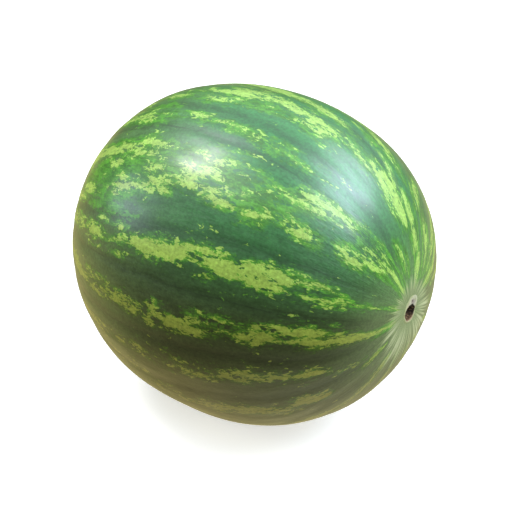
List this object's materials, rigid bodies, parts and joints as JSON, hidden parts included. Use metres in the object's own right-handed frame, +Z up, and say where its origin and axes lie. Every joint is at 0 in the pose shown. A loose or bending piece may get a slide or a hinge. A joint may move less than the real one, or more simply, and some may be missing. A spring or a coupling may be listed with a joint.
{
  "type": "watermelon",
  "caption": "Whole round-oval striped watermelon lying on its side, with a corky stem scar at one end and a blossom scar at the other, resting on a small flat.",
  "frame": {"origin": "centre of the box's underside, on the surface that the fruit rests on", "axes": "+X along the fruit's core towards the stem end, +Z up, +Y completes a right-handed frame"},
  "size_m": [0.278, 0.2468, 0.2513],
  "materials": {
    "rind": "satin"
  },
  "bodies": {
    "root": {"watermelon": "rind"}
  },
  "joints": []
}
